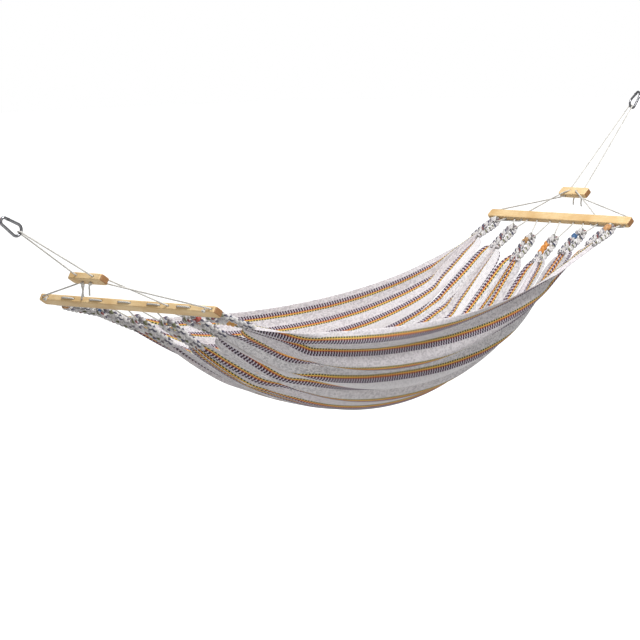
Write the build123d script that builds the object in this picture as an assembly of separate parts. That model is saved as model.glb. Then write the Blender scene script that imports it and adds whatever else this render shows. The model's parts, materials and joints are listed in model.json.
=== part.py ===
from build123d import *
import math
import os

# Hammock with spreader bars: striped woven bed, braided loops, laced bars, cord tensioners and snap hooks.
# The frame's origin is where the left snap hook hangs on its anchor. +X runs along the span to the right
# anchor, +Y across the bed, and +Z is up. All sizes are in millimetres and degrees.

# ---- the hanging ----
BAR_GAP = 2414            # from one spreader bar to the other, along X
RIGHT_BAR_RISE = 125      # the right end hangs this much higher
PULL_ANGLE = {"left": 32.5, "right": 40.5}         # each suspension's slope
BAR_TO_HOOK = {"left": 525, "right": 700}          # bar's middle to the hook's cord seat, along the pull
BAR_TO_TENSIONER = {"left": 200, "right": 155}     # bar's middle to the tensioner's middle
BAR_SPLAY = {"left": 4.5, "right": -8.0}           # the bars hang slightly out of square

# ---- wood ----
BAR_LENGTH = 842
BAR_DEPTH = 43            # along the pull
BAR_THICKNESS = 25
TENSIONER_LENGTH = 160
WOOD_CORNER_RADIUS = 11   # of the corners of its wide face
WOOD_EDGE_RADIUS = 4
HOLE_DIAMETER = 8
HOLE_CHAMFER = 1.6
FAN_HOLE_OUTER = 402      # across the bar, from its middle
FAN_HOLE_INNER = 206
TENSIONER_HOLE = 40       # through the tensioner's depth
KNOT_HOLE = 19            # through the tensioner's thickness

# ---- cord ----
CORD = 5.0
CORD_GAP = 0.4            # between a cord and the face that it lies on
KNOT_DIAMETER = 13
KNOT_CORD_START = 7       # the knotted end's solid starts this far down its hole
TAIL_LENGTH = 32

# ---- braided loops ----
LOOPS_PER_END = 6
LOOP_PITCH = 138
LACING_HALF_SPREAD = 41   # from a loop's middle to each of its two lacing holes
LACING_END_HOLE = 378
END_DROP = 12             # from the end holes down to the stopper knots
LOOP_LENGTH = {"left": 185, "right": 125}
BRAID = 16
BOW_RADIUS = 12
LEG_SPREAD = 16
EYE_REACH = [28, 65, 105]         # bar's face to the loop's eye: outer, middle and centre loops
EYE_LIFT = [15, 7, 0]             # how much flatter than the pull each loop leaves the bar

# ---- bed ----
CLOTH_THICKNESS = 4
CLOTH_EDGE = 20           # cloth beyond the outer loops' middles
RIM_SAG_FAR = 118         # at mid length, below the line between the loops
RIM_SAG_NEAR = 138
CENTRE_SAG = 412
BELLY_POWER = 2.2         # how the sag goes from rim to centre
LENGTH_POWER = 2.1        # how it goes from end to end
SAG_LEAN = 0.1            # the deepest place is a little towards the steeper end
WALL_STEEPNESS = 0.8
WAIST = 0.05              # the bed is this much narrower at mid length
END_ZONE = 0.25
ROWS = 25
COLUMNS = 17

# ---- snap hook ----
WIRE = 10
NARROW_RADIUS = 12.5      # of the wire's middle line at the anchor end, where the gate turns
WIDE_RADIUS = 20          # and at the cord end
CENTRES_APART = 57.5
TONGUE_START = 7.5
PIN_AT = 13
PIN_DIAMETER = 3.0
TONGUE_THICKNESS = 4.4
FORK_GAP = 5.2
GATE_TIP_GAP = 0.6
SPRING_BORE = 5.5
SPRING_DIAMETER = 3.8
SPRING_WIRE = 0.6
SPRING_LENGTH = 15

SIDES = ("left", "right")
OUTWARD = {"left": -1, "right": 1}
HOOK_REACH = NARROW_RADIUS + CENTRES_APART + WIDE_RADIUS
ANCHOR_TO_SEAT = HOOK_REACH - WIRE / 2


# ---------------------------------------------------------------- places

def pull(side):
    angle = math.radians(PULL_ANGLE[side])
    return Vector(OUTWARD[side] * math.cos(angle), 0, math.sin(angle))


def left_bar_middle():
    return pull("left") * -(ANCHOR_TO_SEAT + BAR_TO_HOOK["left"])


def bar_middle(side):
    if side == "left":
        return left_bar_middle()
    return left_bar_middle() + Vector(BAR_GAP, 0, RIGHT_BAR_RISE)


def wood_plane(side, distance=0):
    """At a wooden piece: X outward along the pull, Y along the wood, Z up from its wide face."""
    splay = math.radians(BAR_SPLAY[side])
    along = Vector(-math.sin(splay), math.cos(splay), 0) * OUTWARD[side]
    outward = pull(side) - along * pull(side).dot(along)
    outward = outward.normalized()
    return Plane(origin=bar_middle(side) + pull(side) * distance,
                 x_dir=outward, z_dir=outward.cross(along))


def hook_plane(side):
    """At the hook's cord seat: X outward along the pull, Z to the gate's side."""
    outward = pull(side)
    across = Vector(0, OUTWARD[side], 0)
    return Plane(origin=bar_middle(side) + outward * BAR_TO_HOOK[side],
                 x_dir=outward, z_dir=outward.cross(across))


def hook_body_plane(side):
    """At the hook's narrow end: X back towards the cord seat, Z to the gate's side."""
    seat = hook_plane(side)
    return Plane(origin=seat.from_local_coords((HOOK_REACH, 0, 0)), x_dir=seat.x_dir * -1, z_dir=seat.z_dir)


def loop_side(number):
    """The loop's place across the span, in world Y: loop 1 is at +Y."""
    return ((LOOPS_PER_END + 1) / 2 - number) * LOOP_PITCH


def loop_ring(number):
    """0 for an outer loop, 1 for a middle one, 2 for a centre one."""
    return min(number, LOOPS_PER_END + 1 - number) - 1


def eye_plane(side, number):
    """At a loop's eye: X towards the bed, Z up."""
    ring = loop_ring(number)
    lift = math.radians(EYE_LIFT[ring])
    plane = wood_plane(side)
    y = OUTWARD[side] * loop_side(number)
    eye = plane.from_local_coords((-BAR_DEPTH / 2 - EYE_REACH[ring] * math.cos(lift), y,
                                   EYE_REACH[ring] * math.sin(lift)))
    to_bed = plane.x_dir * -math.cos(lift) + plane.z_dir * math.sin(lift)
    up = plane.x_dir * math.sin(lift) + plane.z_dir * math.cos(lift)
    return Plane(origin=eye, x_dir=to_bed, z_dir=up)


# ---------------------------------------------------------------- cords

def arc_radii(points, tight):
    """One radius per corner: 0.45 of the shorter run, or the tight one where that is less."""
    radii = []
    for i in range(1, len(points) - 1):
        before = points[i] - points[i - 1]
        after = points[i + 1] - points[i]
        half_turn = math.radians(before.get_angle(after)) / 2
        widest = 0.45 * min(before.length, after.length) / math.tan(half_turn)
        radii.append(min(widest, tight.get(i, widest)))
    return radii


def tube(points, diameter, tight=None, label=""):
    """A round cord along straight runs joined by tangent arcs."""
    points = [Vector(*p) if isinstance(p, tuple) else p for p in points]
    radii = arc_radii(points, tight or {})
    path = FilletPolyline(*points, radius=radii)
    section = Plane(origin=path @ 0, z_dir=path % 0) * Circle(diameter / 2)
    solid = sweep(section, path=path)
    expected = math.pi * diameter ** 2 / 4 * path.length
    print(f"{label}: length {path.length:.0f} mm, volume {solid.volume / expected:.3f} of section x length,"
          f" radii {[round(r, 1) for r in radii]}")
    return solid


def knot(centre):
    return Pos(*centre) * Sphere(KNOT_DIAMETER / 2)


def hanging_cord(side):
    """The bight in the hook and its two strands, down into the tensioner."""
    block = wood_plane(side, BAR_TO_TENSIONER[side])
    hook = hook_plane(side)
    seat = WIRE / 2 + CORD / 2 + 2 * CORD_GAP
    mouth = BAR_DEPTH / 2 + CORD / 2
    points = [
        block.from_local_coords((0, -TENSIONER_HOLE, 0)),
        block.from_local_coords((mouth, -TENSIONER_HOLE, 0)),
        hook.from_local_coords((seat, -seat, 0)),
        hook.from_local_coords((seat, seat, 0)),
        block.from_local_coords((mouth, TENSIONER_HOLE, 0)),
        block.from_local_coords((0, TENSIONER_HOLE, 0)),
    ]
    return tube(points, CORD, {2: 0.98 * seat, 3: 0.98 * seat}, f"{side}_hanging_cord")


def fan_cord(side, hand):
    """One half of the fan: tensioner, bar's outer hole, along the bar, inner hole and back."""
    block = wood_plane(side, BAR_TO_TENSIONER[side])
    bar = wood_plane(side)
    face = BAR_DEPTH / 2 + CORD / 2 + CORD_GAP
    over = BAR_THICKNESS / 2 + CORD / 2 + 2 * CORD_GAP
    beside_holes = -CORD - 2.5
    edge = BAR_DEPTH / 2 + 1
    lean = (FAN_HOLE_INNER - KNOT_HOLE) / (BAR_TO_TENSIONER[side] - BAR_DEPTH / 2)
    points = [
        block.from_local_coords((0, hand * TENSIONER_HOLE, 0)),
        block.from_local_coords((-face, hand * TENSIONER_HOLE, 0)),
        bar.from_local_coords((face, hand * FAN_HOLE_OUTER, 0)),
        bar.from_local_coords((-face, hand * FAN_HOLE_OUTER, 0)),
        bar.from_local_coords((-face, hand * (FAN_HOLE_OUTER - 12), beside_holes)),
        bar.from_local_coords((-face, hand * (FAN_HOLE_INNER + 12), beside_holes)),
        bar.from_local_coords((-face, hand * FAN_HOLE_INNER, 0)),
        bar.from_local_coords((face, hand * FAN_HOLE_INNER, 0)),
        block.from_local_coords((-edge, hand * (KNOT_HOLE + edge * lean), over)),
        block.from_local_coords((0, hand * KNOT_HOLE, over)),
        block.from_local_coords((0, hand * KNOT_HOLE, BAR_THICKNESS / 2 - KNOT_CORD_START)),
    ]
    bends = {1: 6, 2: 6, 3: 4.5, 6: 4.5, 7: 8, 9: 4.5}
    cord = tube(points, CORD, bends, f"{side}_fan_cord")
    return cord


def tensioner_knots(side):
    """The two cord ends: each comes down through the tensioner to a knot and a short hanging tail."""
    block = wood_plane(side, BAR_TO_TENSIONER[side])
    below = BAR_THICKNESS / 2
    ends = []
    for hand in (-1, 1):
        top = block.from_local_coords((0, hand * KNOT_HOLE, below - KNOT_CORD_START - 0.2))
        centre = block.from_local_coords((0, hand * KNOT_HOLE, -below - KNOT_DIAMETER / 2 - CORD_GAP))
        tail_end = centre + Vector(0, hand * 5, -TAIL_LENGTH)
        through = Solid.make_cylinder(CORD / 2, (centre - top).length,
                                      Plane(origin=top, z_dir=centre - top))
        tail = Solid.make_cylinder(CORD / 2, TAIL_LENGTH, Plane(origin=centre, z_dir=tail_end - centre))
        ends.append(knot(centre) + through + tail)
    return Compound(children=[end.solid() for end in ends])


def lacing_cord(side):
    """One cord laced along the bar: in through a hole, round a loop's eye, and back out.

    Its two ends hang a little way down the bar's outer face, each with a stopper knot.
    """
    bar = wood_plane(side)
    face = BAR_DEPTH / 2 + CORD / 2 + CORD_GAP
    turn = BRAID / 2 + 4
    points = [(face, -LACING_END_HOLE, -END_DROP)]
    tight = {}
    order = range(LOOPS_PER_END, 0, -1) if side == "right" else range(1, LOOPS_PER_END + 1)
    for number in order:
        y = OUTWARD[side] * loop_side(number)
        eye = bar.to_local_coords(eye_plane(side, number).origin)
        holes = [y - LACING_HALF_SPREAD, y + LACING_HALF_SPREAD]
        holes = [max(-LACING_END_HOLE, min(LACING_END_HOLE, hole)) for hole in holes]
        start = len(points)
        points.append((face, holes[0], 0))
        points.append((-face, holes[0], 0))
        points.append((eye.X, y - turn, eye.Z))
        points.append((eye.X, y + turn, eye.Z))
        points.append((-face, holes[1], 0))
        points.append((face, holes[1], 0))
        tight.update({start: 4.5, start + 1: 6, start + 2: 7, start + 3: 7, start + 4: 6, start + 5: 4.5})
    points.append((face, LACING_END_HOLE, -END_DROP))
    points = [bar.from_local_coords(p) for p in points]
    cord = tube(points, CORD, tight, f"{side}_lacing_cord")
    knot_place = BAR_DEPTH / 2 + KNOT_DIAMETER / 2 + CORD_GAP
    for hand in (-1, 1):
        cord += knot(bar.from_local_coords((knot_place, hand * LACING_END_HOLE, -END_DROP)))
    return cord


# ---------------------------------------------------------------- wood

def hole(plane, start, end):
    """A drilled hole with a chamfered mouth at both ends, as a solid to cut away."""
    start = plane.from_local_coords(start)
    end = plane.from_local_coords(end)
    axis = (end - start).normalized()
    radius = HOLE_DIAMETER / 2
    drill = Solid.make_cylinder(radius, (end - start).length + 2, Plane(origin=start - axis, z_dir=axis))
    for point, inward in ((start, axis), (end, axis * -1)):
        mouth = Plane(origin=point - inward, z_dir=inward)
        drill += Solid.make_cone(radius + HOLE_CHAMFER + 1, radius, HOLE_CHAMFER + 1, mouth)
    return drill


def wood_block(plane, length):
    block = Box(BAR_DEPTH, length, BAR_THICKNESS)
    block = fillet(block.edges().filter_by(Axis.Z), WOOD_CORNER_RADIUS)
    rims = block.faces().sort_by(Axis.Z)[0].edges() + block.faces().sort_by(Axis.Z)[-1].edges()
    block = fillet(rims, WOOD_EDGE_RADIUS)
    return plane.location * block


def lacing_holes():
    """Where the lacing holes lie along the bar, from its middle."""
    places = []
    for number in range(1, LOOPS_PER_END + 1):
        for hand in (-1, 1):
            y = loop_side(number) + hand * LACING_HALF_SPREAD
            places.append(max(-LACING_END_HOLE, min(LACING_END_HOLE, y)))
    return places


def spreader_bar(side):
    plane = wood_plane(side)
    bar = wood_block(plane, BAR_LENGTH)
    half = BAR_DEPTH / 2
    fan_holes = [hand * y for hand in (-1, 1) for y in (FAN_HOLE_OUTER, FAN_HOLE_INNER)]
    for y in lacing_holes() + fan_holes:
        bar -= hole(plane, (-half, y, 0), (half, y, 0))
    return bar


def tensioner(side):
    plane = wood_plane(side, BAR_TO_TENSIONER[side])
    block = wood_block(plane, TENSIONER_LENGTH)
    depth = BAR_DEPTH / 2
    thickness = BAR_THICKNESS / 2
    for hand in (-1, 1):
        y = hand * TENSIONER_HOLE
        block -= hole(plane, (-depth, y, 0), (depth, y, 0))
        y = hand * KNOT_HOLE
        block -= hole(plane, (0, y, -thickness), (0, y, thickness))
    return block


# ---------------------------------------------------------------- loops and bed

def braided_loop(side, number):
    """A thick braid that comes out of the cloth, round the lacing cord and back in."""
    plane = eye_plane(side, number)
    points = [
        (LOOP_LENGTH[side], -LEG_SPREAD, 0),
        (-BOW_RADIUS, 0, BOW_RADIUS),
        (-BOW_RADIUS, 0, -BOW_RADIUS),
        (LOOP_LENGTH[side], LEG_SPREAD, 0),
    ]
    points = [plane.from_local_coords(p) for p in points]
    bow = 0.97 * BOW_RADIUS
    return tube(points, BRAID, {1: bow, 2: bow}, f"{side}_loop_{number}")


def loop_base(side, number):
    """Where a loop runs into the cloth."""
    return eye_plane(side, number).from_local_coords((LOOP_LENGTH[side] - 8, 0, 0))


def end_point(side, across):
    """The cloth's end at a place across it, -1 to 1, on straight lines between the loops' bases."""
    bases = [loop_base(side, number) for number in range(LOOPS_PER_END, 0, -1)]
    place = (across + 1) / 2 * (LOOPS_PER_END - 1)
    before = min(int(place), LOOPS_PER_END - 2)
    share = place - before
    point = bases[before] * (1 - share) + bases[before + 1] * share
    return Vector(point.X, point.Y * (1 + CLOTH_EDGE / loop_side(1)), point.Z)


def sag(along, across):
    """How far the cloth hangs below the line between its two end points: least at the rims."""
    rim = RIM_SAG_FAR if across > 0 else RIM_SAG_NEAR
    deepest = rim + (CENTRE_SAG - rim) * (1 - abs(across) ** BELLY_POWER)
    from_middle = 2 * along - 1
    lean = 1 + SAG_LEAN * from_middle * 4 * along * (1 - along)
    return deepest * (1 - abs(from_middle) ** LENGTH_POWER) * lean


def steep_side(across):
    """Across the middle of the bed the walls stand steeper than near its ends."""
    wall = math.pi / 2 * WALL_STEEPNESS
    return math.sin(wall * across) / math.sin(wall)


def bed_point(along, across):
    start = end_point("left", across)
    finish = end_point("right", across)
    from_end = min(1, min(along, 1 - along) / END_ZONE)
    in_middle = from_end ** 2 * (3 - 2 * from_end)
    narrowing = 1 - WAIST * math.sin(math.pi * along)
    end_side = (start.Y * (1 - along) + finish.Y * along) * narrowing
    middle_side = steep_side(across) * (loop_side(1) + CLOTH_EDGE) * narrowing
    x = start.X + (finish.X - start.X) * along
    y = end_side * (1 - in_middle) + middle_side * in_middle
    z = start.Z + (finish.Z - start.Z) * along - sag(along, across)
    return Vector(x, y, z)


def bed_cloth():
    grid = []
    for row in range(ROWS):
        along = row / (ROWS - 1)
        line = [bed_point(along, 2 * column / (COLUMNS - 1) - 1) for column in range(COLUMNS)]
        grid.append(line)
    sheet = Face.make_surface_from_array_of_points(grid, tol=1.0)
    cloth = extrude(sheet, CLOTH_THICKNESS, dir=(0, 0, 1))
    print(f"bed_cloth: area {sheet.area / 1e6:.3f} m2, valid {cloth.is_valid}")
    return cloth


# ---------------------------------------------------------------- snap hook

def hook_angle():
    return math.asin((WIDE_RADIUS - NARROW_RADIUS) / CENTRES_APART)


def gate_plane():
    """In the hook's frame: X along the gate from the narrow end's curve to the nose, Z outward."""
    tilt = hook_angle()
    outward = Vector(-math.sin(tilt), 0, math.cos(tilt))
    origin = Vector(NARROW_RADIUS, 0, 0) + outward * NARROW_RADIUS
    return Plane(origin=origin, x_dir=(math.cos(tilt), 0, math.sin(tilt)), z_dir=outward)


def gate_side_length():
    return CENTRES_APART * math.cos(hook_angle())


def rod(plane, start, end, diameter):
    origin = plane.from_local_coords((start, 0, 0))
    return Solid.make_cylinder(diameter / 2, end - start, Plane(origin=origin, z_dir=plane.x_dir))


def hook_body(side):
    """A pear of round wire, open along the gate, with a flat tongue that the gate pivots on."""
    tilt = hook_angle()
    narrow_centre = Vector(NARROW_RADIUS, 0, 0)
    wide_centre = Vector(NARROW_RADIUS + CENTRES_APART, 0, 0)
    up = Vector(-math.sin(tilt), 0, math.cos(tilt))
    down = Vector(-math.sin(tilt), 0, -math.cos(tilt))
    gate = gate_plane()
    wire = [
        Line(gate.from_local_coords((TONGUE_START, 0, 0)), narrow_centre + up * NARROW_RADIUS),
        ThreePointArc(narrow_centre + up * NARROW_RADIUS, Vector(0, 0, 0),
                      narrow_centre + down * NARROW_RADIUS),
        Line(narrow_centre + down * NARROW_RADIUS, wide_centre + down * WIDE_RADIUS),
        ThreePointArc(wide_centre + down * WIDE_RADIUS, wide_centre + Vector(WIDE_RADIUS, 0, 0),
                      wide_centre + up * WIDE_RADIUS),
    ]
    path = Wire(wire)
    section = Plane(origin=path @ 0, z_dir=path % 0) * Circle(WIRE / 2)
    body = sweep(section, path=path)
    tongue_length = PIN_AT - TONGUE_START + 0.5
    tongue = Box(tongue_length, TONGUE_THICKNESS, WIRE - 0.4)
    tongue = Pos(TONGUE_START - 0.5 + tongue_length / 2, 0, 0) * tongue
    tongue += Pos(PIN_AT, 0, 0) * Rot(90, 0, 0) * Cylinder(WIRE / 2 - 0.2, TONGUE_THICKNESS)
    body += gate.location * tongue
    body -= gate.location * pin_shape(0.0, 2 * WIRE)
    return hook_body_plane(side).location * body


def pin_shape(clearance, length):
    return Pos(PIN_AT, 0, 0) * Rot(90, 0, 0) * Cylinder(PIN_DIAMETER / 2 + clearance, length)


def hook_pin(side):
    return hook_body_plane(side).location * (gate_plane().location * pin_shape(0.0, WIRE - 0.6))


def hook_gate(side):
    """The gate: a rod with a fork over the tongue and a bore for its spring."""
    length = gate_side_length()
    gate = Plane.XY
    arm = rod(gate, PIN_AT, length - GATE_TIP_GAP, WIRE)
    cheeks = Pos(PIN_AT, 0, 0) * Rot(90, 0, 0) * Cylinder(WIRE / 2 - 0.05, WIRE - 1)
    arm = arm + cheeks
    slot_length = WIRE + 1
    arm -= Pos(PIN_AT, 0, 0) * Box(slot_length, FORK_GAP, 2 * WIRE)
    arm -= rod(gate, PIN_AT + slot_length / 2 - 0.5, PIN_AT + slot_length / 2 + SPRING_LENGTH, SPRING_BORE)
    arm -= pin_shape(0.05, 2 * WIRE)
    return hook_body_plane(side).location * (gate_plane().location * arm)


def hook_spring(side):
    """A small coil in the gate's bore, pressing on the tongue."""
    coil = Helix(pitch=1.2, height=SPRING_LENGTH - 2.5, radius=(SPRING_DIAMETER - SPRING_WIRE) / 2)
    section = Plane(origin=coil @ 0, z_dir=coil % 0) * Circle(SPRING_WIRE / 2)
    spring = sweep(section, path=coil)
    start = PIN_AT + WIRE / 2 + 1.2
    spring = Pos(start, 0, 0) * Rot(0, 90, 0) * spring
    return hook_body_plane(side).location * (gate_plane().location * spring)


# ---------------------------------------------------------------- all parts

def side_parts(side):
    parts = {
        "snap_hook": hook_body(side),
        "hook_gate": hook_gate(side),
        "gate_pin": hook_pin(side),
        "gate_spring": hook_spring(side),
        "hanging_cord": hanging_cord(side),
        "fan_cord_near": fan_cord(side, -OUTWARD[side]),
        "fan_cord_far": fan_cord(side, OUTWARD[side]),
        "tensioner": tensioner(side),
        "tensioner_knots": tensioner_knots(side),
        "spreader_bar": spreader_bar(side),
        "lacing_cord": lacing_cord(side),
    }
    for number in range(1, LOOPS_PER_END + 1):
        parts[f"loop_{number}"] = braided_loop(side, number)
    return parts


def main():
    os.makedirs("parts", exist_ok=True)
    for side in SIDES:
        for name, solid in side_parts(side).items():
            export_step(solid, f"parts/{side}_{name}.step")
    export_step(bed_cloth(), "parts/bed_cloth.step")


main()
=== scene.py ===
"""The looks of the hammock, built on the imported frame: cords first, then wood, steel, loops and cloth.

Everything is in metres in the row's frame: +X along the span to the right anchor, +Y across the bed, +Z up.
"""

import json
import math
import random

import bmesh
import bpy
import numpy as np
from mathutils import Matrix, Vector, noise


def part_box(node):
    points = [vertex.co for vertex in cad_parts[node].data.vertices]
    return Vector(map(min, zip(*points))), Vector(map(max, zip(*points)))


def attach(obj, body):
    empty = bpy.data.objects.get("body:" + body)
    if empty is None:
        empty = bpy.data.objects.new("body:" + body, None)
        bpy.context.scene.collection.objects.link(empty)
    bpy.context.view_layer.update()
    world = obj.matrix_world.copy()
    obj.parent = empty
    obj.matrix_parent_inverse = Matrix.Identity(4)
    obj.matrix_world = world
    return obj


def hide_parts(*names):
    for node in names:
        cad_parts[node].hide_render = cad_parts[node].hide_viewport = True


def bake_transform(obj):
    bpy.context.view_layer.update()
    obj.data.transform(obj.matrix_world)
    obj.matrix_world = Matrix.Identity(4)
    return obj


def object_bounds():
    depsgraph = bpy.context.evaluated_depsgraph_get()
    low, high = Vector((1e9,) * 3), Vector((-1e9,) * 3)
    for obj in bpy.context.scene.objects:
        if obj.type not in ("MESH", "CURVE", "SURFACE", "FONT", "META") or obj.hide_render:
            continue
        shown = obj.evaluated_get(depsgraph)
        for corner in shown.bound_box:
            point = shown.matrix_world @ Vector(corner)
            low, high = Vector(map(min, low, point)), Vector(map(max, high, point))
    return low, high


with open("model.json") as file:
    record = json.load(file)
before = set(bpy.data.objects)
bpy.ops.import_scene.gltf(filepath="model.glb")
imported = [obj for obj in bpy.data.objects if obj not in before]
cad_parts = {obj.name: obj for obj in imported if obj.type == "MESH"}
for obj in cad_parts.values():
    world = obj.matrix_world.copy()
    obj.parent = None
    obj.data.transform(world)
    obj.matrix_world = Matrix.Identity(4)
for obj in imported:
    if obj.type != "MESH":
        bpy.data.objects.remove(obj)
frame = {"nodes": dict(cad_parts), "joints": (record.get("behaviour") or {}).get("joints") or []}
cad_low, cad_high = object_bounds()

SIDES = ("left", "right")
OUTWARD = {"left": -1, "right": 1}

# ---- sizes of the wood, as in the CAD ----
BAR_DEPTH = 0.043
BAR_THICKNESS = 0.025
BAR_SPLAY = {"left": math.radians(4.5), "right": math.radians(-8.0)}
BAR_TO_HOOK = {"left": 0.525, "right": 0.700}
BAR_TO_TENSIONER = {"left": 0.200, "right": 0.155}
FAN_HOLE_OUTER = 0.402
FAN_HOLE_INNER = 0.206
TENSIONER_HOLE = 0.040
KNOT_HOLE = 0.019
LACING_HALF_SPREAD = 0.041
LACING_END_HOLE = 0.378
END_DROP = 0.012

# ---- cord ----
CORD = 0.0061               # over the crowns of its strands
CORD_TWIST = 0.026          # one turn of the three strands
SEAT = 0.0088               # the bight's radius round the hook's wire
TAIL_LENGTH = {"a": 0.043, "b": 0.037}
LINE_STEP = 0.0022          # between two sections of a cord or strand
KNOT_STEP = 0.0018
TENSIONER_KNOT_SIZE = 0.00165
LACING_KNOT_SIZE = 0.00155

# ---- braided loops ----
LOOPS_PER_END = 6
LOOP_PITCH = 0.138
LOOP_LENGTH = {"left": 0.185, "right": 0.125}
LEG_SPREAD = 0.0155
BOW_RADIUS = 0.012
EYE_REACH = (0.028, 0.065, 0.105)
EYE_LIFT = (math.radians(15), math.radians(7), 0.0)
STRAND_RADIUS = 0.0066
BRAID_SWING = 0.0076
BRAID_DEPTH = 0.0042
BRAID_TURN = 0.070

# ---- cloth ----
CLOTH_LENGTH = 2.13
CLOTH_WIDTH = 1.05
CLOTH_THICKNESS = 0.0022
ROWS = 150
COLUMNS = 14                # in each of the six sections
NOTCH = 0.085               # depth of the open arch between two gathers
BUNDLE = 0.062              # half a gathered bundle's width, as a share of half the bed's width
GATHERED_SPREAD = 0.19      # half a section's width just inside its gather, as the same share
EDGE_SPREAD = 0.055         # the same on a rim's side, so that the rim stays inside the bed
GATHER_REACH = 0.50         # how far into the bed the gathering shows
FOLDS = 3                   # per section
STRIPE_PITCH = 0.070
STRIPE_START = 0.020        # plain ground along the near edge
STRIPE_CROWDING = 0.146     # the groups stand closer towards the far edge
FOLD_PITCH = 0.19           # of the long folds, as a share of half the bed's width
FOLD_DEPTH = 0.025
FOLD_DROOP = 0.017
PINNED_REACH = 0.022        # the cloth that its loops hold still
SETTLE_FRAMES = 30
SETTLE_LIMIT = 0.012        # the furthest that the simulation may move a point

# ---- the hanging bed, as in the CAD ----
CLOTH_EDGE = 0.020
RIM_SAG_FAR = 0.118
RIM_SAG_NEAR = 0.138
CENTRE_SAG = 0.412
BELLY_POWER = 2.2
LENGTH_POWER = 2.1
SAG_LEAN = 0.1
WALL_STEEPNESS = 0.8
WAIST = 0.05
END_ZONE = 0.25

# ---- camera ----
CAMERA_FROM_BAR = Vector((-4.4931, -5.257, 0.7956))
CAMERA_YAW = math.radians(45.95)
CAMERA_PITCH = math.radians(7.15)
CAMERA_ROLL = math.radians(-1.50)
CAMERA_LENS = 114.2
FLOOR_DROP = 0.75

# ---- light ----
AMBIENT = 0.41
KEY_PLACE = Vector((-0.6, -2.3, 4.3))    # from the middle of the hammock, like FILL_PLACE
KEY_SIZE = 2.4
KEY_POWER = 345
FILL_PLACE = Vector((-3.0, -4.0, 1.2))
FILL_SIZE = 3.0
FILL_POWER = 30
FLOOR_GLOW = 0.92           # seen by the camera only: keeps the floor as pale as the backdrop
BACKDROP = 1.0


# ================================================================ places

def middle(node):
    low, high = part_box(node)
    return (low + high) / 2


def joint(name):
    return next(j for j in frame["joints"] if j["name"] == name)


PULL = {side: Vector(joint(f"{side}_tensioner_slide")["axis"]).normalized() for side in SIDES}
BAR = {side: middle(f"{side}_spreader_bar") for side in SIDES}


def place(origin, x_axis, z_axis):
    """A 4x4 matrix from a local frame to the row's."""
    y_axis = z_axis.cross(x_axis)
    rows = [[x_axis[i], y_axis[i], z_axis[i], origin[i]] for i in range(3)]
    return Matrix(rows + [[0, 0, 0, 1]])


def wood_frame(side, distance=0.0):
    """X outward along the pull, Y along the wood, Z up from its wide face."""
    splay = BAR_SPLAY[side]
    along = Vector((-math.sin(splay), math.cos(splay), 0)) * OUTWARD[side]
    outward = (PULL[side] - along * PULL[side].dot(along)).normalized()
    return place(BAR[side] + PULL[side] * distance, outward, outward.cross(along))


def hook_frame(side):
    across = Vector((0, OUTWARD[side], 0))
    return place(BAR[side] + PULL[side] * BAR_TO_HOOK[side], PULL[side], PULL[side].cross(across))


def loop_side(number):
    return ((LOOPS_PER_END + 1) / 2 - number) * LOOP_PITCH


def loop_ring(number):
    return min(number, LOOPS_PER_END + 1 - number) - 1


def eye_frame(side, number):
    """At a loop's eye: X towards the bed, Z up."""
    ring = loop_ring(number)
    lift = EYE_LIFT[ring]
    wood = wood_frame(side)
    reach = EYE_REACH[ring]
    local = Vector((-BAR_DEPTH / 2 - reach * math.cos(lift), OUTWARD[side] * loop_side(number),
                    reach * math.sin(lift)))
    outward = wood.to_3x3().col[0]
    up = wood.to_3x3().col[2]
    to_bed = up * math.sin(lift) - outward * math.cos(lift)
    return place(wood @ local, to_bed, outward * math.sin(lift) + up * math.cos(lift))


# ================================================================ materials

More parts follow.
